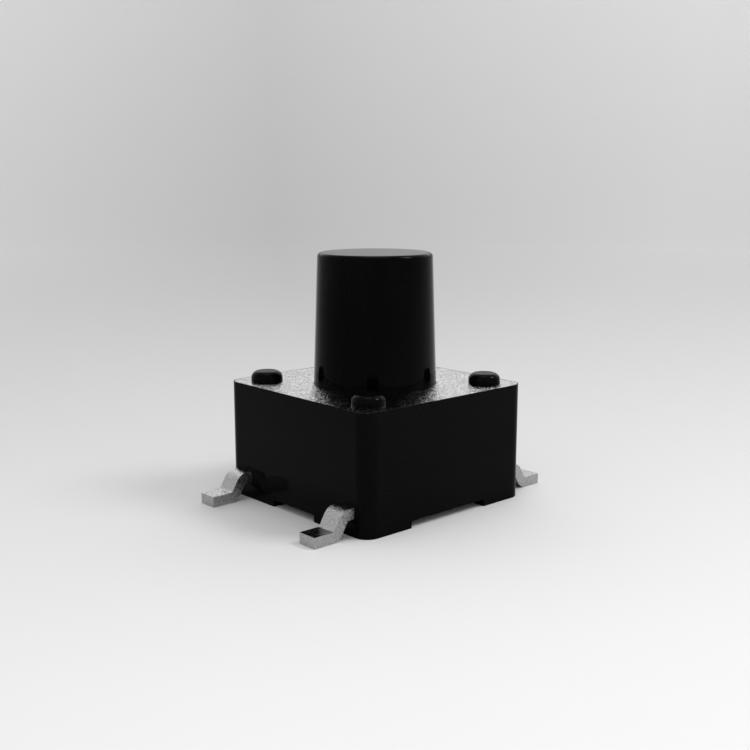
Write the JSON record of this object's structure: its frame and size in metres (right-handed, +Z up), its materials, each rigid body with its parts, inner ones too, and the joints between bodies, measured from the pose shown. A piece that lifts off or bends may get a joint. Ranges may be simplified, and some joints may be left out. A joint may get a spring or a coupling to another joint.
{
  "type": "tactile push button switch",
  "caption": "Square surface-mount tactile switch with a tall round button, a staked metal cover plate and gull-wing solder leads.",
  "frame": {"origin": "on the button's axis, in the plane of the circuit board, which the solder feet and the corner pads stand on", "axes": "+Z up along the button's axis, +X across the two rows of leads, +Y along a row of leads"},
  "size_m": [0.0086, 0.006, 0.007],
  "materials": {
    "housing_plastic": "smooth moulded black, semi-gloss",
    "cover_steel": "fine-grained satin sheet",
    "button_plastic": "smooth moulded black, glossy",
    "dome_steel": "bright rolled spring sheet",
    "lead_metal": "matte plated, fine grain"
  },
  "bodies": {
    "housing": {"base_housing": "housing_plastic", "cover_plate": "cover_steel", "snap_dome": "dome_steel", "centre_terminal": "lead_metal", "rim_terminal": "lead_metal"},
    "button": {"push_button": "button_plastic"}
  },
  "joints": [
    {"name": "button_press", "type": "slide", "parent": "housing", "child": "button", "axis": [0, 0, -1], "range_m": [0, 0.00025], "stiffness_N_per_m": 8000, "deforming": ["snap_dome"]}
  ]
}
